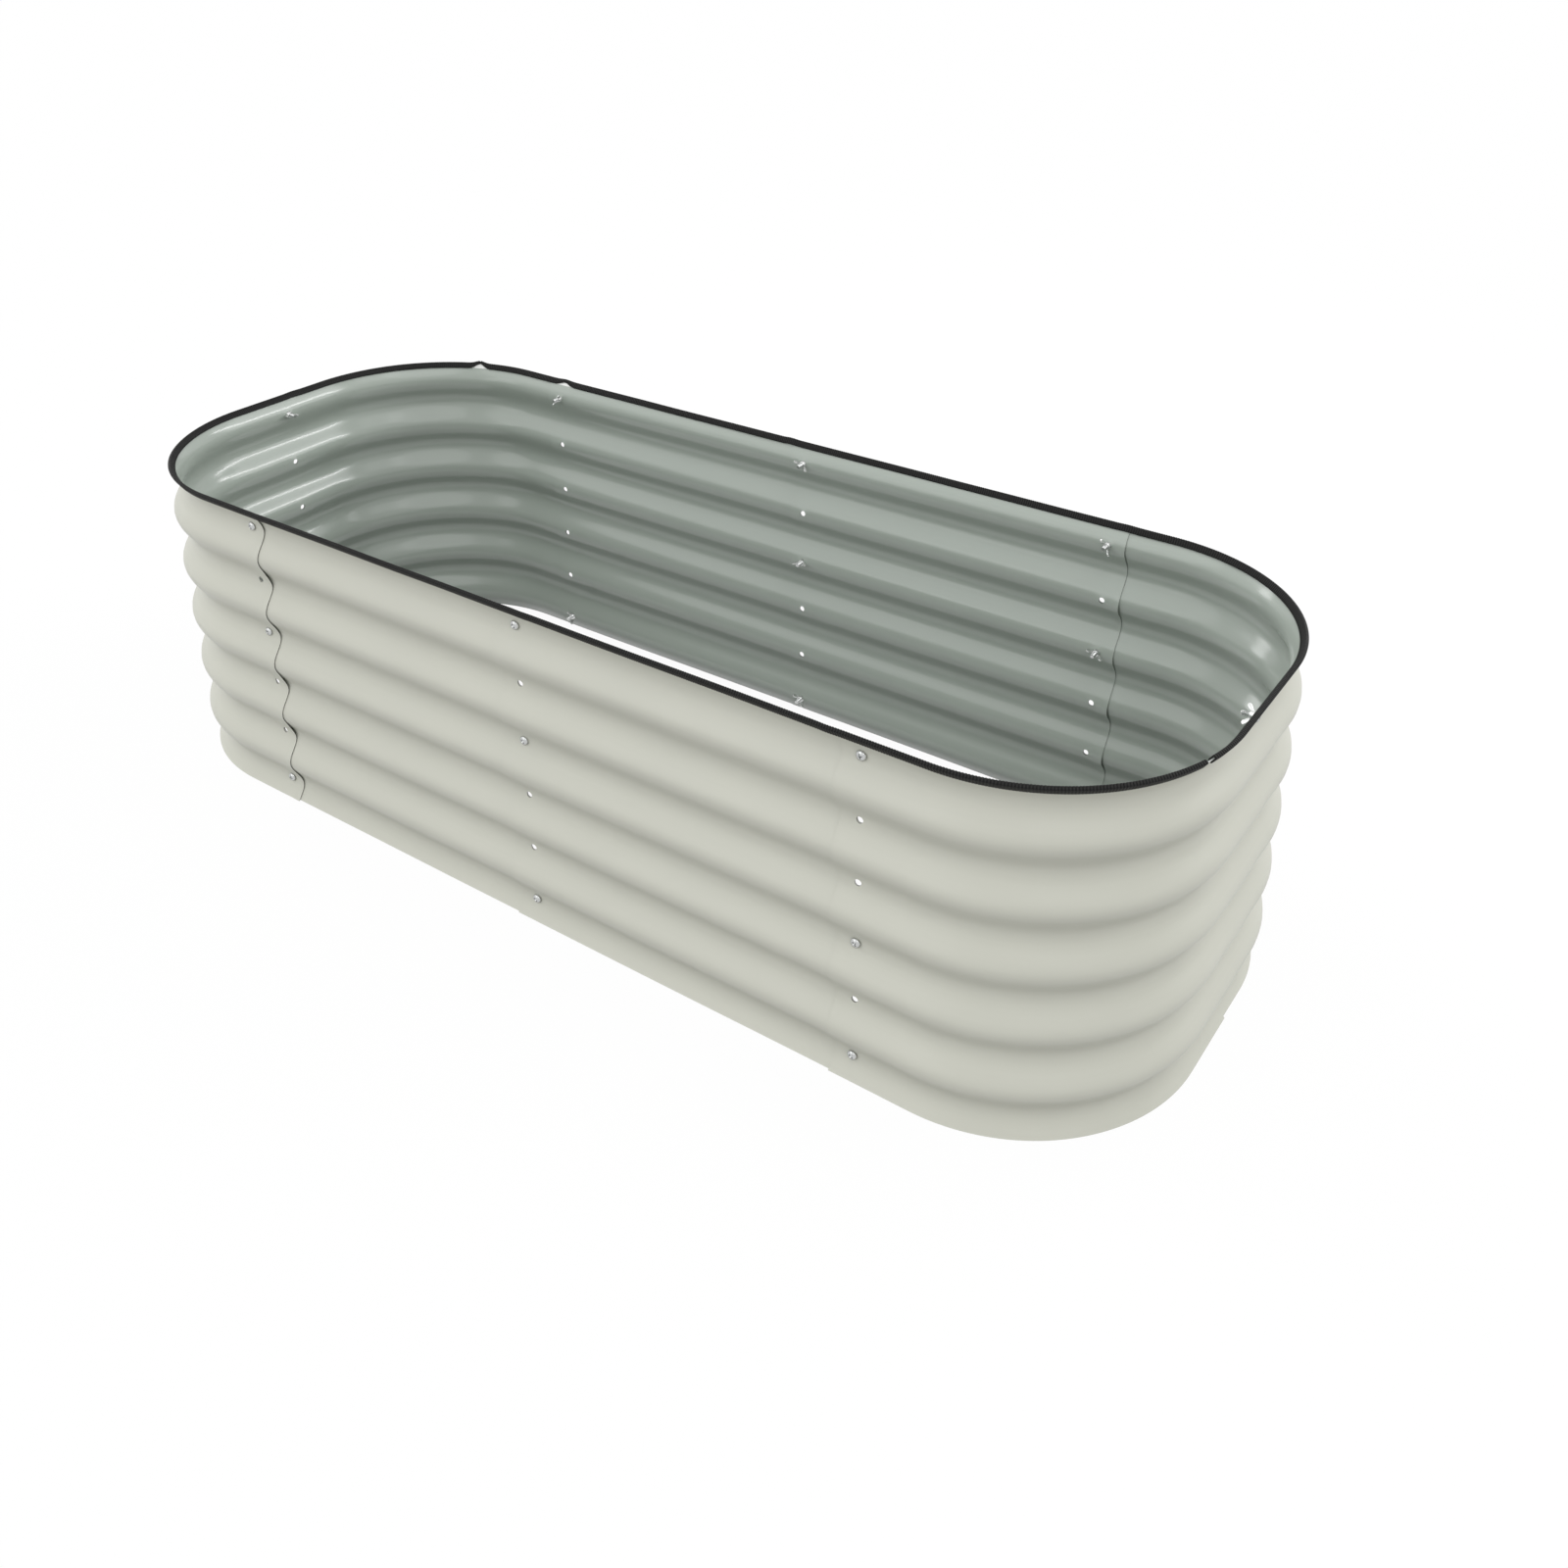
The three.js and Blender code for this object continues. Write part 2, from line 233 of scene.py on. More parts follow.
def feed(tree, node, **inputs):
    """Gives a node its input values. A value that is a socket is linked."""
    for key, value in inputs.items():
        socket = node.inputs[key.replace("_", " ")]
        if isinstance(value, bpy.types.NodeSocket):
            tree.links.new(value, socket)
        else:
            socket.default_value = value


def add_node(tree, kind, settings=(), **inputs):
    """A new node with its settings and input values."""
    node = tree.nodes.new(kind)
    for key, value in dict(settings).items():
        setattr(node, key, value)
    feed(tree, node, **inputs)
    return node


def new_group(name, inputs, outputs):
    """A shader node group with float inputs {name: value} and float outputs."""
    tree = bpy.data.node_groups.new(name, "ShaderNodeTree")
    for label, value in inputs.items():
        socket = tree.interface.new_socket(label, in_out="INPUT", socket_type="NodeSocketFloat")
        socket.default_value = value
    for label in outputs:
        tree.interface.new_socket(label, in_out="OUTPUT", socket_type="NodeSocketFloat")
    return tree, tree.nodes.new("NodeGroupInput"), tree.nodes.new("NodeGroupOutput")


def use_group(tree, group, **inputs):
    return add_node(tree, "ShaderNodeGroup", {"node_tree": group}, **inputs)


def maths(tree, operation, a, b):
    node = add_node(tree, "ShaderNodeMath", {"operation": operation})
    for socket, value in zip(node.inputs, (a, b)):
        if isinstance(value, bpy.types.NodeSocket):
            tree.links.new(value, socket)
        else:
            socket.default_value = value
    return node.outputs[0]


def spread(tree, value, low, high):
    """Maps 0 to 1 onto low to high."""
    node = add_node(tree, "ShaderNodeMapRange", Value=value, To_Min=low, To_Max=high)
    return node.outputs["Result"]


def blend_colour(tree, share, a, b):
    """Colour a where the share is 0 and b where it is 1. A colour is (r, g, b) or a socket."""
    node = add_node(tree, "ShaderNodeMix", {"data_type": "RGBA"})
    tree.links.new(share, node.inputs[0])
    for socket, colour in ((node.inputs[6], a), (node.inputs[7], b)):
        if isinstance(colour, tuple):
            socket.default_value = (*colour, 1.0)
        else:
            tree.links.new(colour, socket)
    return node.outputs[2]


def place_on_piece(tree):
    return add_node(tree, "ShaderNodeTexCoord").outputs["Object"]


def speckle(tree, where, scale, detail, roughness=0.5):
    """A soft random pattern between 0 and 1."""
    kind = "ShaderNodeTexNoise"
    node = add_node(tree, kind, Vector=where, Scale=scale, Detail=detail, Roughness=roughness)
    return node.outputs["Fac"]


def relief(tree, height, depth, strength=0.5, **under):
    """A surface as rough as the height says, on another one where its Normal is given."""
    amounts = {"Height": height, "Distance": depth, "Strength": strength}
    return add_node(tree, "ShaderNodeBump", **amounts, **under).outputs["Normal"]


def rolling_streaks_group():
    """Faint lines that the rolls leave along the sheet."""
    tree, given, result = new_group("Rolling streaks", {"Fineness": 1.0}, ["Streaks"])
    place = add_node(tree, "ShaderNodeAttribute", {"attribute_name": "sheet_place"})
    across = maths(tree, "MULTIPLY", given.outputs["Fineness"], 210.0)
    stretch = add_node(tree, "ShaderNodeCombineXYZ", X=1.3, Y=across, Z=0.0)
    scaled = add_node(tree, "ShaderNodeVectorMath", {"operation": "MULTIPLY"})
    tree.links.new(place.outputs["Vector"], scaled.inputs[0])
    tree.links.new(stretch.outputs[0], scaled.inputs[1])
    feed(tree, result, Streaks=speckle(tree, scaled.outputs[0], 1.0, 3.0, 0.55))
    return tree


def baked_coat_group():
    """The soft unevenness of a baked coat: a fine peel, and broad clouds where it is thicker."""
    tree, given, result = new_group("Baked coat", {"Peel size": 0.8}, ["Peel", "Clouds"])
    where = place_on_piece(tree)
    fineness = maths(tree, "DIVIDE", 1000.0, given.outputs["Peel size"])
    peel = speckle(tree, where, fineness, 2.0)
    clouds = speckle(tree, where, 7.0, 3.0)
    feed(tree, result, Peel=peel, Clouds=clouds)
    return tree


def bare_surface_group():
    """What shows on metal and rubber that aren't painted: a soft mottle and a fine grain."""
    sizes = {"Mottle fineness": 400.0, "Grain fineness": 2000.0}
    tree, given, result = new_group("Mottle and grain", sizes, ["Mottle", "Grain"])
    where = place_on_piece(tree)
    mottle = speckle(tree, where, given.outputs["Mottle fineness"], 4.0)
    grain = speckle(tree, where, given.outputs["Grain fineness"], 2.0)
    feed(tree, result, Mottle=mottle, Grain=grain)
    return tree


def new_material(name):
    material = bpy.data.materials.new(name)
    material.use_nodes = True
    tree = material.node_tree
    return material, tree, tree.nodes["Principled BSDF"]


def coated_sheet(name, colour, cloud_colour, roughness, peel_depth, streak_depth, fineness):
    """Paint baked onto sheet steel."""
    material, tree, shader = new_material(name)
    coat = use_group(tree, BAKED_COAT, Peel_size=0.9)
    lines = use_group(tree, ROLLING_STREAKS, Fineness=fineness).outputs["Streaks"]
    clouds = coat.outputs["Clouds"]
    tint = blend_colour(tree, spread(tree, clouds, 0.0, 1.0), colour, cloud_colour)
    darker = tuple(0.94 * c for c in colour)
    tint = blend_colour(tree, spread(tree, lines, -0.25, 0.6), tint, darker)
    mixed = maths(tree, "MULTIPLY", maths(tree, "ADD", clouds, lines), 0.5)
    peel = relief(tree, coat.outputs["Peel"], peel_depth)
    rolled = relief(tree, lines, streak_depth, Normal=peel)
    feed(tree, shader, Base_Color=tint, Roughness=spread(tree, mixed, *roughness), Normal=rolled)
    return material


def metal(name, colour, stain, metallic, roughness, grain):
    """Plated or bare steel, slightly mottled."""
    material, tree, shader = new_material(name)
    surface = use_group(tree, BARE_SURFACE, Mottle_fineness=420.0, Grain_fineness=2600.0)
    mottle = surface.outputs["Mottle"]
    tint = blend_colour(tree, mottle, colour, stain)
    sheen = spread(tree, mottle, *roughness)
    rough = relief(tree, surface.outputs["Grain"], grain, 0.4)
    feed(tree, shader, Base_Color=tint, Roughness=sheen, Normal=rough, Metallic=metallic)
    return material


def edging_rubber(name, dark, light):
    """Matt black rubber with a faint bloom. Dark and light are its tones, the light one warmer."""
    material, tree, shader = new_material(name)
    surface = use_group(tree, BARE_SURFACE, Mottle_fineness=38.0, Grain_fineness=1800.0)
    bloom = surface.outputs["Mottle"]
    tint = blend_colour(tree, bloom, (dark,) * 3, (light, light, 0.94 * light))
    sheen = spread(tree, bloom, 0.42, 0.6)
    rough = relief(tree, surface.outputs["Grain"], 0.05 * MM)
    feed(tree, shader, Base_Color=tint, Roughness=sheen, Normal=rough, Specular_IOR_Level=0.14)
    return material


ROLLING_STREAKS = rolling_streaks_group()
BAKED_COAT = baked_coat_group()
BARE_SURFACE = bare_surface_group()
OUTSIDE_PAINT = coated_sheet(
    "Satin off-white paint",
    colour=(0.600, 0.604, 0.530),
    cloud_colour=(0.572, 0.578, 0.510),
    roughness=(0.36, 0.48),
    peel_depth=0.012 * MM,
    streak_depth=0.045 * MM,
    fineness=1.0,
)
INSIDE_COAT = coated_sheet(
    "Grey-green back coat",
    colour=(0.372, 0.412, 0.372),
    cloud_colour=(0.352, 0.396, 0.355),
    roughness=(0.12, 0.20),
    peel_depth=0.006 * MM,
    streak_depth=0.008 * MM,
    fineness=1.4,
)
CUT_STEEL, SHADED_CUT_EDGE, PALE_TOP_MARGIN, CAST_ZINC, ZINC = (
    metal(name, colour, stain, metallic, roughness, grain * MM)
    for name, colour, stain, metallic, roughness, grain in (
        ("Cut steel edge", (0.62, 0.63, 0.63), (0.48, 0.49, 0.49), 0.7, (0.4, 0.6), 0.02),
        # The side and hole edges: cut steel darkened, painted shade of the gaps at the laps and in
        # the holes.
        ("Cut edge with painted shade", (0.13, 0.13, 0.125), (0.07, 0.07, 0.065), 0.3, (0.5, 0.7), 0.02),
        ("Pale top margin", (0.88, 0.89, 0.87), (0.78, 0.79, 0.77), 0.1, (0.30, 0.45), 0.01),
        ("Cast zinc", (0.80, 0.81, 0.80), (0.56, 0.57, 0.56), 1.0, (0.20, 0.36), 0.02),
        ("Bright zinc plate", (0.60, 0.61, 0.60), (0.44, 0.45, 0.45), 1.0, (0.18, 0.34), 0.01),
    )
)
RUBBER = edging_rubber("Black rubber", 0.010, 0.024)
# The same black rubber made darker: painted shade on the slopes and grooves between the ribs.
SHADED_GROOVE_RUBBER = edging_rubber("Black rubber with painted shade between the ribs", 0.003, 0.005)


# ---- Corrugated panels --------------------------------------------------------------------------

# The sheet is divided into small squares, sixteen to a wave, and each bolt hole takes up a block of
# four by four of them. A collar round the hole keeps it round.
SQUARE = WAVE_PITCH / 16
BLOCK = 2
HOLE_SIDES = 32
COLLAR_RADIUS = HOLE_RADIUS * 1.35

# Lines down the sheet: the most that lies between two, and those set closer at a lap's edge.
BEND_STEP = 8 * MM
STRAIGHT_STEP = 16 * MM
EDGE_LINES = (1.5 * MM, 5 * MM, 9 * MM)

# How far back from its edge a lap stands open, where it is bolted and where it isn't.
HELD_REACH = 20 * MM
OPEN_REACH = 46 * MM

# How far up the wave, in radians, a lap opens most, and the share of its spring that it shows off
# that flank, at a bolt and at an empty hole.
OPEN_PHASE = 0.75
OFF_FLANK, AT_BOLT, AT_EMPTY_HOLE = 0.1, 0.4, 0.9

# How far holes drift from their true places, in a sheet that lies behind and in an outer one.
HIDDEN_DRIFT = 0.7 * MM
SHOWN_DRIFT = 0.15 * MM

# The top of the sheet, under the edging, is coloured near white; it shows where the edging rides up.
PALE_TOP_MARGIN_HEIGHT = 5.2 * MM

FINISHES = (OUTSIDE_PAINT, INSIDE_COAT, CUT_STEEL, SHADED_CUT_EDGE, PALE_TOP_MARGIN)


def fill_between(marks, step):
    """The marks in order, with even steps of at most the given length between them."""
    marks = sorted(marks)
    lines = []
    for low, high in zip(marks, marks[1:]):
        count = max(1, math.ceil((high - low) / step - 1e-6))
        lines += [low + (high - low) * n / count for n in range(count)]
    return lines + [marks[-1]]


def nearest(lines, value):
    return min(range(len(lines)), key=lambda n: abs(lines[n] - value))


def drilled_grid(s_lines, z_lines, holes):
    """The points (s, z) and faces of a flat grid with holes, and the loops of points round its outer
    edge and round each hole. Each hole is (s, z, drift s, drift z)."""
    points, known, faces, rims = [], {}, [], []

    def corner(i, j):
        if (i, j) not in known:
            known[i, j] = len(points)
            points.append((s_lines[i], z_lines[j]))
        return known[i, j]

    taken = set()
    centres = []
    for s, z, drift_s, drift_z in holes:
        i, j = nearest(s_lines, s), nearest(z_lines, z)
        centres.append((i, j, s + drift_s, z + drift_z))
        taken |= {(i + a, j + b) for a in range(-BLOCK, BLOCK) for b in range(-BLOCK, BLOCK)}
    for i in range(len(s_lines) - 1):
        for j in range(len(z_lines) - 1):
            if (i, j) not in taken:
                square = ((i, j), (i + 1, j), (i + 1, j + 1), (i, j + 1))
                faces.append([corner(*place) for place in square])
    for i, j, s, z in centres:
        steps = [(BLOCK, n) for n in range(0, BLOCK)]
        steps += [(n, BLOCK) for n in range(BLOCK, -BLOCK, -1)]
        steps += [(-BLOCK, n) for n in range(BLOCK, -BLOCK, -1)]
        steps += [(n, -BLOCK) for n in range(-BLOCK, BLOCK)]
        steps += [(BLOCK, n) for n in range(-BLOCK, 0)]
        around = [corner(i + a, j + b) for a, b in steps]
        rings = []
        for radius in (COLLAR_RADIUS, HOLE_RADIUS):
            first = len(points)
            for n in range(HOLE_SIDES):
                angle = 2 * math.pi * n / HOLE_SIDES
                points.append((s + radius * math.cos(angle), z + radius * math.sin(angle)))
            rings.append([first + n for n in range(HOLE_SIDES)])
        collar, rim = rings
        for n in range(HOLE_SIDES // 2):
            a, b, c = 2 * n, 2 * n + 1, (2 * n + 2) % HOLE_SIDES
            outside = [around[n], around[(n + 1) % len(around)]]
            faces.append(outside + [collar[c], collar[b], collar[a]])
        for n in range(HOLE_SIDES):
            after = (n + 1) % HOLE_SIDES
            faces.append([collar[n], collar[after], rim[after], rim[n]])
        rims.append(rim)
    last_i, last_j = len(s_lines) - 1, len(z_lines) - 1
    edge = [corner(i, 0) for i in range(last_i)]
    edge += [corner(last_i, j) for j in range(last_j)]
    edge += [corner(i, last_j) for i in range(last_i, 0, -1)]
    edge += [corner(0, j) for j in range(last_j, 0, -1)]
    return points, faces, edge, rims


def smooth_share(value, low, high):
    share = min(1.0, max(0.0, (value - low) / (high - low)))
    return share * share * (3 - 2 * share)


class Panel:
    """One corrugated panel, from its first bolt column to the next. A depth is how far its outside
    lies behind the outermost sheet at that end. A spring is how far its lap edge stands off there.
    Its foot is how far its lower edge stands off the ground."""

    def __init__(self, node, start, depths, springs, foot):
        self.node = node
        self.name = f"sheet_{node}"
        names = list(COLUMNS)
        end = names[(names.index(start) + 1) % len(names)]
        self.columns = (start, end)
        self.start = COLUMNS[start]
        self.end = COLUMNS[end] if COLUMNS[end] > self.start else COLUMNS[end] + LOOP
        self.depths = depths
        self.springs = springs
        self.foot = foot
        self.rounded = "corner" in node
        self.chance = random.Random(self.name)

    def lap_spring(self, s, z):
        """The lap edge springs open on the flank that faces down, and furthest at empty holes."""
        total = 0.0
        edges = (s - self.start + LAP_REACH, self.end + LAP_REACH - s)
        for amount, inward, column in zip(self.springs, edges, self.columns):
            if inward > OPEN_REACH:
                continue
            phase = wave_phase(z) - math.copysign(OPEN_PHASE, amount)
            row = LAST_ROW - round(phase / (2 * math.pi))
            held = row in BOLTED[column]
            reach = HELD_REACH if held else OPEN_REACH
            share = max(0.0, 1 - inward / reach) ** 2
            flank = max(0.0, math.cos(phase)) ** 2
            total += amount * share * (OFF_FLANK + (AT_BOLT if held else AT_EMPTY_HOLE) * flank)
        return total

    def depth(self, s):
        low, high = self.start + LAP_REACH, self.end - LAP_REACH
        a, b = self.depths
        return a + (b - a) * smooth_share(s, low, high)

    def point(self, s, z, skin):
        x, y, out_x, out_y = bed_line(s)
        below = self.depth(s) + skin
        out = wave_out(z) - below * math.hypot(1, wave_slope(z))
        out += unevenness(s, z) + self.lap_spring(s, z)
        past_row = (z - EDGE_MARGIN + 0.5 * WAVE_PITCH) % WAVE_PITCH - 0.5 * WAVE_PITCH
        for column in (self.start, self.end):
            near = math.exp(-(((s - column) / PULL_WIDTH) ** 2))
            if near > 0.01:
                out -= BOLT_PULL * near * math.exp(-((past_row / PULL_HEIGHT) ** 2))
        return x + out_x * out, y + out_y * out, z

    def holes(self):
        found = []
        for column, depth in ((self.start, self.depths[0]), (self.end, self.depths[1])):
            for row in range(1, LAST_ROW + 1):
                drift = HIDDEN_DRIFT if depth > 0 else SHOWN_DRIFT
                drift_s = self.chance.uniform(-drift, drift)
                drift_z = self.chance.uniform(-drift, drift)
                found.append((column, row_height(row), drift_s, drift_z))
        return found

    def build(self):
        """Two skins a sheet's thickness apart, joined along the outer edge and in the holes."""
        marks = [self.start - LAP_REACH, self.end + LAP_REACH]
        for column in (self.start, self.end):
            marks += [column + n * SQUARE for n in range(-BLOCK, BLOCK + 1)]
        for inward in EDGE_LINES:
            marks += [self.start - LAP_REACH + inward, self.end + LAP_REACH - inward]
        if self.rounded:
            marks += [self.start + ARM, self.end - ARM]
        s_lines = fill_between(marks, BEND_STEP if self.rounded else STRAIGHT_STEP)
        first = math.ceil((self.foot - EDGE_MARGIN) / SQUARE + 0.3)
        last = math.floor((PANEL_HEIGHT - EDGE_MARGIN) / SQUARE)
        z_lines = [self.foot] + [EDGE_MARGIN + n * SQUARE for n in range(first, last + 1)]
        z_lines.append(PANEL_HEIGHT)
        pale_from = PANEL_HEIGHT - PALE_TOP_MARGIN_HEIGHT
        z_lines[-3] = pale_from
        points, faces, edge, rims = drilled_grid(s_lines, z_lines, self.holes())

        bm = bmesh.new()
        place = bm.verts.layers.float_vector.new("sheet_place")
        skins = []
        for skin in (0.0, SHEET):
            verts = []
            for s, z in points:
                vert = bm.verts.new(self.point(s, z, skin))
                vert[place] = (s, z, 0.0)
                verts.append(vert)
            skins.append(verts)
        outer, inner = skins
        for face in faces:
            front = bm.faces.new([outer[n] for n in face])
            back = bm.faces.new([inner[n] for n in reversed(face)])
            front.smooth = back.smooth = True
            back.material_index = FINISHES.index(INSIDE_COAT)
            # The top band, under the edging, is coloured near white on both skins.
            if min(points[n][1] for n in face) > pale_from - 1e-6:
                front.material_index = back.material_index = FINISHES.index(PALE_TOP_MARGIN)
        for loop, order in [(edge, 1)] + [(rim, -1) for rim in rims]:
            for a, b in zip(loop, loop[1:] + loop[:1]):
                corners = [inner[a], inner[b], outer[b], outer[a]][::order]
                side = bm.faces.new(corners)
                # Level edges, at the top and bottom, are plain cut steel; side edges and hole walls
                # take the same steel with painted shade.
                level = order == 1 and points[a][1] == points[b][1]
                side.material_index = FINISHES.index(CUT_STEEL if level else SHADED_CUT_EDGE)
                for skin in (outer, inner):
                    bm.edges.get((skin[a], skin[b])).smooth = False
        dress(new_piece(self.name, bm, FINISHES), self.node)


# How far a lap edge springs: outward where its sheet lies outside, inward where it lies behind.
SPRUNG = 3.0 * MM
EASED = 1.0 * MM
CLOSE = 0.3 * MM

# The node of each panel, its first bolt column, and its depths, springs and foot.
PANELS = (
    ("front_right_corner_panel", "front_right", (0, 0), (EASED, CLOSE), 0),
    ("back_right_corner_panel", "right_end", (TUCKED, 0), (-CLOSE, CLOSE), 1.2 * MM),
    ("back_right_side_panel", "back_right", (TUCKED, TUCKED), (-SPRUNG, -CLOSE), 0.8 * MM),
    ("back_left_side_panel", "back_middle", (0, TUCKED), (CLOSE, -EASED), 0.4 * MM),
    ("back_left_corner_panel", "back_left", (0, 0), (CLOSE, CLOSE), 0),
    ("front_left_corner_panel", "left_end", (TUCKED, 0), (-CLOSE, SPRUNG), 0.6 * MM),
    ("front_left_side_panel", "front_left", (TUCKED, TUCKED), (-CLOSE, -CLOSE), 1.6 * MM),
    ("front_right_side_panel", "front_middle", (0, TUCKED), (CLOSE, -CLOSE), 1.0 * MM),
)
for panel in PANELS:
    Panel(*panel).build()


# ---- Screws and wing nuts -----------------------------------------------------------------------

# The screw head's outline, in shares of its radius and height, from the middle of its top.
HEAD_OUTLINE = (
    (0, 1), (0.2, 0.995), (0.42, 0.96), (0.62, 0.88), (0.78, 0.75),
    (0.9, 0.56), (0.97, 0.34), (1, 0.16), (0.985, 0.03), (0.95, 0),
)
ROUND_SIDES = 32
CREASE = math.radians(38)  # edges bent further than this stay sharp


def turned_piece(name, outline, thread=None):
    """A round piece about +X from its outline (radius, along), tip to tail, or a ring where the
    outline ends where it began. The thread is (from, to, depth), cut by drawing the radius in and
    out as it winds."""
    bm = bmesh.new()
    rings = []
    hollow = outline[0] == outline[-1]
    for radius, along_axis in outline[:-1] if hollow else outline:
        if radius == 0:
            rings.append([bm.verts.new((along_axis, 0, 0))])
            continue
        ring = []
        for n in range(ROUND_SIDES):
            angle = 2 * math.pi * n / ROUND_SIDES
            r = radius
            if thread and thread[0] <= along_axis <= thread[1]:
                turn = along_axis / THREAD_PITCH - n / ROUND_SIDES
                r -= thread[2] * abs(2 * (turn % 1) - 1)
            ring.append(bm.verts.new((along_axis, r * math.cos(angle), r * math.sin(angle))))
        rings.append(ring)
    for ring, after in zip(rings, rings[1:] + rings[:1] if hollow else rings[1:]):
        for n in range(ROUND_SIDES):
            m = (n + 1) % ROUND_SIDES
            corners = [ring[n % len(ring)], ring[m % len(ring)]]
            corners += [after[m % len(after)], after[n % len(after)]]
            corners = [v for k, v in enumerate(corners) if v not in corners[:k]]
            bm.faces.new(corners).smooth = True
    bmesh.ops.recalc_face_normals(bm, faces=bm.faces)
    return new_piece(name, bm, [ZINC])


def prism(name, outline, half, edge_round=0.0, taper=1.0):
    """A plate from its outline (x, y), with half its thickness to each side of z = 0. The taper is
    how thick its far side is, as a share of its near one."""
    bm = bmesh.new()
    far = max(y for _, y in outline)
    near = min(y for _, y in outline)
    layers = []
    for side in (-1, 1):
        layer = []
        for x, y in outline:
            share = (y - near) / (far - near)
            layer.append(bm.verts.new((x, y, side * half * (1 + (taper - 1) * share))))
        layers.append(layer)
    low, high = layers
    bm.faces.new(low[::-1])
    bm.faces.new(high)
    for n in range(len(outline)):
        m = (n + 1) % len(outline)
        bm.faces.new([low[n], low[m], high[m], high[n]])
    bmesh.ops.recalc_face_normals(bm, faces=bm.faces)
    if edge_round:
        sharp = [edge for edge in bm.edges if edge.calc_face_angle(0) > 1.0]
        bmesh.ops.bevel(bm, geom=sharp, offset=edge_round, segments=2, profile=0.5, affect="EDGES")
    return new_piece(name, bm, [ZINC])


def carve(piece, tools, operation):
    """Joins the tools to the piece, or cuts them from it, and takes them away."""
    for tool in tools:
        modifier = piece.modifiers.new("shape", "BOOLEAN")
        modifier.operation = operation
        modifier.object = tool
        modifier.solver = "EXACT"
    bpy.context.view_layer.update()
    evaluated = piece.evaluated_get(bpy.context.evaluated_depsgraph_get())
    shaped = bpy.data.meshes.new_from_object(evaluated)
    bpy.data.objects.remove(piece)
    for tool in tools:
        bpy.data.objects.remove(tool)
    bm = bmesh.new()
    bm.from_mesh(shaped)
    bmesh.ops.remove_doubles(bm, verts=bm.verts, dist=1e-6)
    for face in bm.faces:
        face.smooth = True
    for edge in bm.edges:
        edge.smooth = edge.calc_face_angle(3.0) < CREASE
    bm.to_mesh(shaped)
    bm.free()
    return shaped


def screw_mesh():
    """A pan head screw with a cross recess, its underside at x = 0 and its shank towards -X."""
    outline = [(out * HEAD_RADIUS, up * HEAD_HEIGHT) for out, up in HEAD_OUTLINE]
    outline += [(SHANK_RADIUS, 0), (SHANK_RADIUS, -2.4 * MM)]
    samples = 4  # to each turn of the thread
    steps = int((SHANK_LENGTH - 3.4 * MM) / THREAD_PITCH * samples)
    for n in range(steps + 1):
        outline.append((SHANK_RADIUS, -2.6 * MM - n * THREAD_PITCH / samples))
    outline += [(SHANK_RADIUS * 0.78, -SHANK_LENGTH), (0, -SHANK_LENGTH)]
    thread = (-SHANK_LENGTH + 0.5 * MM, -2.5 * MM, THREAD_DEPTH)
    screw = turned_piece("screw", outline, thread)
    arms = []
    wide, narrow, half = 3.3 * MM, 1.3 * MM, 0.62 * MM
    top, floor = HEAD_HEIGHT * 1.05, HEAD_HEIGHT * 0.3
    for turn in (0, math.pi / 2):
        blade = [(floor, -narrow), (top, -wide), (top, wide), (floor, narrow)]
        arm = prism("recess arm", blade, half)
        arm.data.transform(Matrix.Rotation(turn, 4, "X"))
        arms.append(arm)
    return carve(screw, arms, "DIFFERENCE")


def rounded(outline, times=2):
    """An outline with its corners cut back, each time more finely."""
    for _ in range(times):
        eased = []
        for (ax, ay), (bx, by) in zip(outline, outline[1:] + outline[:1]):
            eased.append((0.75 * ax + 0.25 * bx, 0.75 * ay + 0.25 * by))
            eased.append((0.25 * ax + 0.75 * bx, 0.25 * ay + 0.75 * by))
        outline = eased
    return outline


def wing_nut_mesh():
    """A wing nut with its base at x = 0, rising towards -X."""
    bore = SHANK_RADIUS * 0.92
    outline = [(bore, -0.15 * MM), (bore + 0.3 * MM, 0), (HUB_RADIUS - 0.25 * MM, 0)]
    outline += [(HUB_RADIUS, -0.25 * MM), (HUB_RADIUS, -1.1 * MM)]
    outline += [(HUB_TOP_RADIUS + 0.25 * MM, -2.2 * MM), (HUB_TOP_RADIUS, -HUB_HEIGHT + 0.5 * MM)]
    outline += [(HUB_TOP_RADIUS - 0.45 * MM, -HUB_HEIGHT), (bore + 0.35 * MM, -HUB_HEIGHT)]
    outline += [(bore, -HUB_HEIGHT + 0.3 * MM), (bore, -0.15 * MM)]
    hub = turned_piece("hub", outline)
    tip = WING_SPAN / 2
    wing = [
        (-0.8 * MM, bore + 0.7 * MM),
        (-0.9 * HUB_HEIGHT, bore + 0.6 * MM),
        (-0.80 * WING_RISE, tip * 0.54),
        (-1.04 * WING_RISE, tip * 0.68),
        (-1.04 * WING_RISE, tip * 0.92),
        (-0.84 * WING_RISE, tip * 1.03),
        (-0.60 * WING_RISE, tip * 0.90),
        (-0.34 * WING_RISE, tip * 0.58),
    ]
    wings = []
    for turn in (0, math.pi):
        plate = prism("wing", rounded(wing), 1.1 * MM, edge_round=0.35 * MM, taper=0.75)
        plate.data.transform(Matrix.Rotation(turn, 4, "X"))
        wings.append(plate)
    nut = carve(hub, wings, "UNION")
    nut.materials.clear()
    nut.materials.append(CAST_ZINC)
    return nut


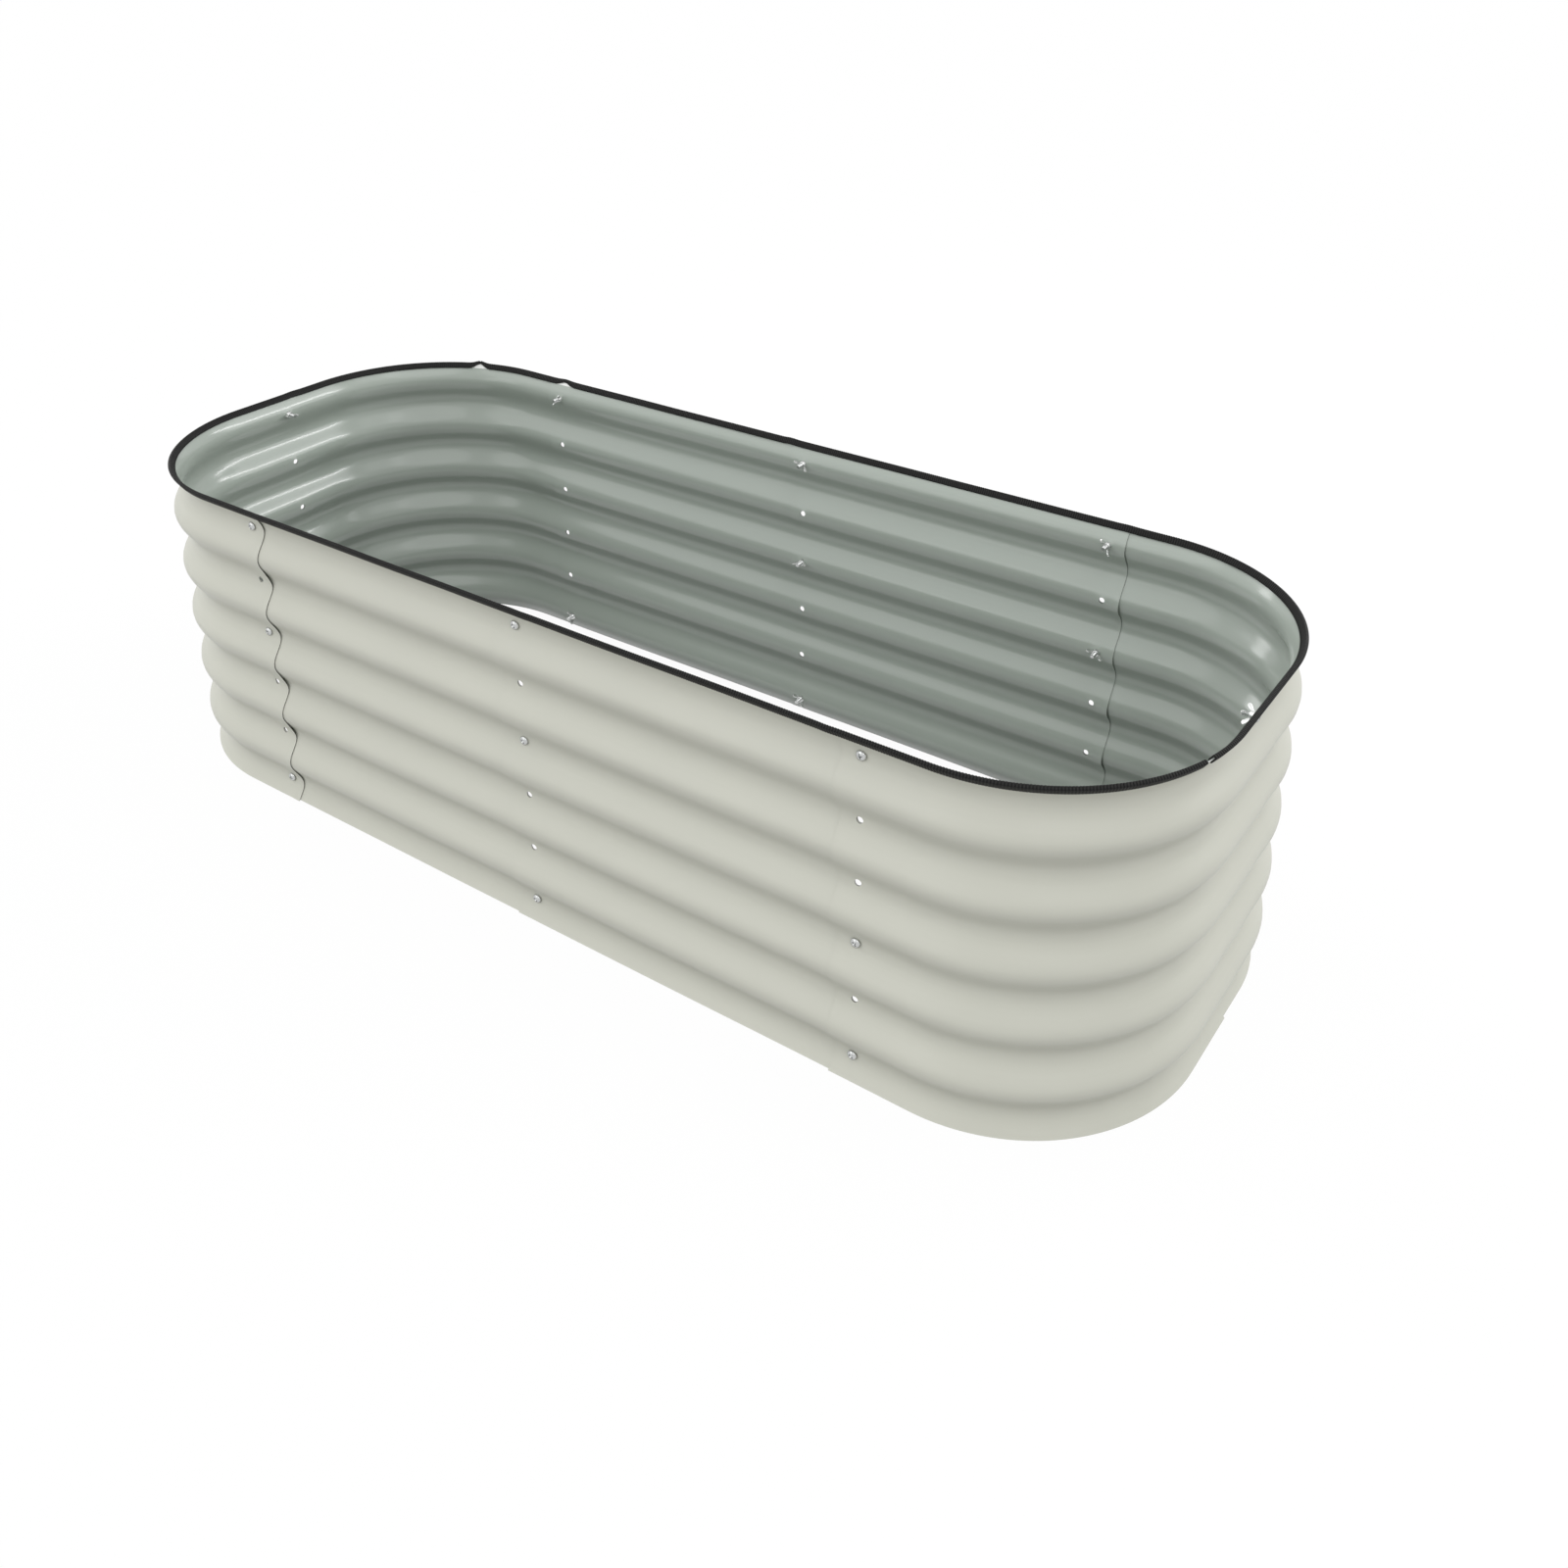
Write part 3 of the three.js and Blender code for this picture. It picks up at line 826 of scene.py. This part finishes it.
def fasten():
    screw, nut = screw_mesh(), wing_nut_mesh()
    chance = random.Random(11)
    for column, rows in BOLTED.items():
        x, y, out_x, out_y = bed_line(COLUMNS[column])
        facing = Matrix.Rotation(math.atan2(out_y, out_x), 4, "Z")
        for row, turn in rows.items():
            post = Matrix.Translation((x, y, row_height(row))) @ facing
            for kind, mesh, out, angle in (
                ("screw", screw, SEAT + SEAT_PLAY, chance.uniform(0, 90)),
                ("wing_nut", nut, SEAT - TUCKED - SHEET - SEAT_PLAY, turn),
            ):
                node = f"{kind}_{column}_row_{row}"
                piece = bpy.data.objects.new(f"zinc_{node}", mesh)
                scene.collection.objects.link(piece)
                seat = Matrix.Translation((out, 0, 0))
                piece.matrix_world = post @ seat @ Matrix.Rotation(math.radians(angle), 4, "X")
                dress(piece, node)


fasten()


# ---- Rubber edging ------------------------------------------------------------------------------


def edging_section():
    """The U about the middle of the sheet's edge, as (side, height, ribbed), once round."""
    half = EDGING_WIDTH / 2
    roof = SEAT_PLAY + EDGING_WEB
    foot = roof - EDGING_HEIGHT
    slot = (TUCKED + SHEET) / 2 + SEAT_PLAY
    bend = 1.5 * MM
    lip = 0.4 * MM
    points = [(half - lip, foot, 0), (half, foot + lip, 1), (half, foot * 0.5, 1)]
    for n in range(4):
        angle = math.pi / 6 * n
        side, height = bend * math.cos(angle), bend * math.sin(angle)
        points.append((half - bend + side, roof - bend + height, 1))
    points += [(-side, height, ribbed) for side, height, ribbed in reversed(points)]
    points += [(-slot, foot, 0), (-slot, SEAT_PLAY, 0), (slot, SEAT_PLAY, 0), (slot, foot, 0)]
    return points


RIM_CREASE = math.radians(50)  # edges of the strip bent further than this stay sharp
LEG = EDGING_HEIGHT - EDGING_WEB - SEAT_PLAY
LEAN = math.atan2(wave_out(PANEL_HEIGHT) - wave_out(PANEL_HEIGHT - LEG), LEG)
OPEN_JOINT = bend_distance(OPEN_JOINT_ANGLE)
CLOSED_JOINT = bend_distance(CLOSED_JOINT_ANGLE)

# Where the strip rides up or steps aside: distance along, half length, lift, sideways, and the
# share of its legs' height that it loses there.
STRIP_KINKS = [
    (CLOSED_JOINT, 9 * MM, 3.4 * MM, 0.0, 0.55),
    (COLUMNS["back_left"] - 4 * MM, 11 * MM, 1.2 * MM, -0.4 * MM, 0.5),
    (COLUMNS["back_middle"] + 29 * MM, 9 * MM, 0.7 * MM, -0.5 * MM, 0.0),
    (COLUMNS["back_right"] - 20 * MM, 10 * MM, 0.3 * MM, -0.4 * MM, 0.0),
    (COLUMNS["front_right"] - 34 * MM, 9 * MM, 0.5 * MM, 0.5 * MM, 0.0),
    (COLUMNS["front_middle"] + 20 * MM, 10 * MM, 0.2 * MM, 0.3 * MM, 0.0),
    (COLUMNS["front_left"] + 26 * MM, 9 * MM, 0.4 * MM, 0.3 * MM, 0.0),
    (COLUMNS["left_end"] - 20 * MM, 12 * MM, 0.5 * MM, -0.4 * MM, 0.0),
]


def strip_stray(s):
    """How far the strip rides up and stands out from its true line, and how short its legs are."""
    x, y, _, _ = bed_line(s)
    lift = STRIP_RIDE * (1 + noise.noise(Vector((x * 9, y * 9, 3.0))))
    sideways = STRIP_SWAY * noise.noise(Vector((x * 8, y * 8, 9.0)))
    trim = 0.0
    for centre, reach, up, out, cut in STRIP_KINKS:
        gap = (s - centre + LOOP / 2) % LOOP - LOOP / 2
        near = math.exp(-((gap / reach) ** 2))
        lift += up * near
        sideways += out * near
        trim += cut * near
    return lift, sideways, trim


def edging_strip(name, start, end):
    """A strip over the rim from one distance along the bed to another, grooved between its ribs."""
    section = edging_section()
    count = len(section)
    outward = []
    for n, (_, _, ribbed) in enumerate(section):
        (ax, ay, _), (bx, by, _) = section[n - 1], section[(n + 1) % count]
        normal = Vector((by - ay, ax - bx)).normalized()
        outward.append(normal * ribbed)
    up = (math.sin(LEAN), math.cos(LEAN))
    across = (math.cos(LEAN), -math.sin(LEAN))
    ribs = round((end - start) / RIB_PITCH)
    stations = []
    for n in range(ribs):
        stations += [(n, 1.0), (n + 0.5 - RIB_SHARE / 2, 0.0), (n + 0.5 + RIB_SHARE / 2, 0.0)]
    stations.append((ribs, 1.0))

    bm = bmesh.new()
    rings = []
    for step, groove in stations:
        s = start + (end - start) * step / ribs
        x, y, out_x, out_y = bed_line(s)
        lift, sideways, trim = strip_stray(s)
        ring = []
        for (side, height, _), normal in zip(section, outward):
            a = side - (TUCKED + SHEET) / 2 + sideways - normal.x * groove * RIB_DEPTH
            b = height * (1 - trim if height < 0 else 1) + lift - normal.y * groove * RIB_DEPTH
            out = wave_out(PANEL_HEIGHT) + a * across[0] + b * up[0]
            z = PANEL_HEIGHT + a * across[1] + b * up[1]
            ring.append(bm.verts.new((x + out_x * out, y + out_y * out, z)))
        rings.append(ring)
    grooves = [groove for _, groove in stations]
    for groove, next_groove, ring, after in zip(grooves, grooves[1:], rings, rings[1:]):
        for n in range(count):
            m = (n + 1) % count
            face = bm.faces.new([ring[n], after[n], after[m], ring[m]])
            face.smooth = True
            # Faces in and beside a groove take the darker rubber, painted shade between the ribs.
            face.material_index = 1 if groove or next_groove else 0
    bm.faces.new(rings[0])
    bm.faces.new(rings[-1][::-1])
    bmesh.ops.recalc_face_normals(bm, faces=bm.faces)
    for edge in bm.edges:
        edge.smooth = edge.calc_face_angle(0.0) <= RIM_CREASE
    dress(new_piece(f"ribbed_{name}", bm, [RUBBER, SHADED_GROOVE_RUBBER]), name)


edging_strip(
    "edging_strip_right", OPEN_JOINT + OPEN_JOINT_GAP / 2, CLOSED_JOINT - CLOSED_JOINT_GAP / 2
)
edging_strip(
    "edging_strip_left", CLOSED_JOINT + CLOSED_JOINT_GAP / 2, OPEN_JOINT + LOOP - OPEN_JOINT_GAP / 2
)


# ---- Floor, light and camera --------------------------------------------------------------------


FLOOR_REACH = 16.0
FLOOR_DROP = 0.2 * MM


def seen_or_mirrored(tree):
    """1 for a ray that the camera or a shiny surface sees, 0 for one that only lights."""
    ray = add_node(tree, "ShaderNodeLightPath")
    shown = maths(tree, "MAXIMUM", ray.outputs["Is Camera Ray"], ray.outputs["Is Glossy Ray"])
    return maths(tree, "MAXIMUM", shown, ray.outputs["Is Transmission Ray"])


def white_floor():
    """A pale floor that shows white and keeps a soft shadow."""
    bm = bmesh.new()
    bmesh.ops.create_grid(bm, x_segments=2, y_segments=2, size=FLOOR_REACH)
    floor = new_piece("floor", bm, [])
    floor.location.z = -FLOOR_DROP
    material, tree, shader = new_material("Pale studio floor")
    feed(tree, shader, Base_Color=(0.42, 0.42, 0.42, 1), Roughness=0.9, Specular_IOR_Level=0.0)
    glow = add_node(tree, "ShaderNodeEmission", Strength=1.06)
    share = maths(tree, "MULTIPLY", seen_or_mirrored(tree), 0.9)
    both = tree.nodes.new("ShaderNodeMixShader")
    tree.links.new(share, both.inputs[0])
    tree.links.new(shader.outputs[0], both.inputs[1])
    tree.links.new(glow.outputs[0], both.inputs[2])
    tree.links.new(both.outputs[0], tree.nodes["Material Output"].inputs["Surface"])
    floor.data.materials.append(material)


def studio_world(ambient):
    """White where it is seen, directly or in a reflection, and softer as a light."""
    world = bpy.data.worlds.new("Studio")
    scene.world = world
    world.use_nodes = True
    tree = world.node_tree
    strength = spread(tree, seen_or_mirrored(tree), ambient, 1.0)
    feed(tree, tree.nodes["Background"], Color=(1, 1, 1, 1), Strength=strength)


def place_from(azimuth, elevation, distance, centre):
    """A place seen from the centre at an angle round from the front and an angle above level."""
    a, e = math.radians(azimuth), math.radians(elevation)
    back = Vector((math.sin(a) * math.cos(e), -math.cos(a) * math.cos(e), math.sin(e)))
    return Vector(centre) + back * distance


def wide_light(name, azimuth, elevation, strength, spread_angle=30):
    """An even soft light from far off, as wide as a large softbox."""
    light = bpy.data.lights.new(name, "SUN")
    light.energy = strength
    light.angle = math.radians(spread_angle)
    lamp = bpy.data.objects.new(name, light)
    scene.collection.objects.link(lamp)
    lamp.location = place_from(azimuth, elevation, 3.2, (0, 0, 0))
    lamp.rotation_euler = (-lamp.location).to_track_quat("-Z", "Y").to_euler()


def softbox(name, place, aim, width, height, power):
    light = bpy.data.lights.new(name, "AREA")
    light.shape = "RECTANGLE"
    light.size, light.size_y = width, height
    light.energy = power
    box = bpy.data.objects.new(name, light)
    scene.collection.objects.link(box)
    box.location = place
    box.rotation_euler = (Vector(aim) - Vector(place)).to_track_quat("-Z", "Y").to_euler()
    box.visible_camera = False


def camera(azimuth, elevation, roll, distance, target, focal, shift):
    data = bpy.data.cameras.new("Camera")
    eye = bpy.data.objects.new("Camera", data)
    scene.collection.objects.link(eye)
    place = place_from(azimuth, elevation, distance, target)
    facing = (place - Vector(target)).to_track_quat("Z", "Y").to_matrix().to_4x4()
    rolled = facing @ Matrix.Rotation(math.radians(roll), 4, "Z")
    eye.matrix_world = Matrix.Translation(place) @ rolled
    data.sensor_width = 36
    data.lens = focal
    data.shift_y = shift
    data.clip_start, data.clip_end = 0.05, 60
    scene.camera = eye


white_floor()
studio_world(ambient=0.68)
wide_light("Front right", azimuth=45, elevation=50, strength=0.62, spread_angle=50)
wide_light("Left", azimuth=270, elevation=38, strength=0.48, spread_angle=40)
wide_light("Front left", azimuth=325, elevation=36, strength=0.40, spread_angle=40)
wide_light("Low front", azimuth=340, elevation=8, strength=0.24)
wide_light("Back right", azimuth=128, elevation=22, strength=0.52)
wide_light("Low left", azimuth=272, elevation=14, strength=0.14, spread_angle=11)
softbox("Over the right end", (0.75, 0.1, 1.9), (-0.5, 0.1, 0.2), width=1.0, height=1.0, power=3)
softbox("Strip", (0.99, 1.82, 1.54), (-0.75, 0.0, 0.38), width=1.65, height=0.09, power=11)
camera(
    azimuth=34.681,
    elevation=25.642,
    roll=0.235,
    distance=1.870740,
    target=(0.140609, 0.036277, 0.4064 + 0.005897),
    focal=36 * 1555.677 / 1600,
    shift=-0.15,
)
scene.view_settings.view_transform = "Standard"
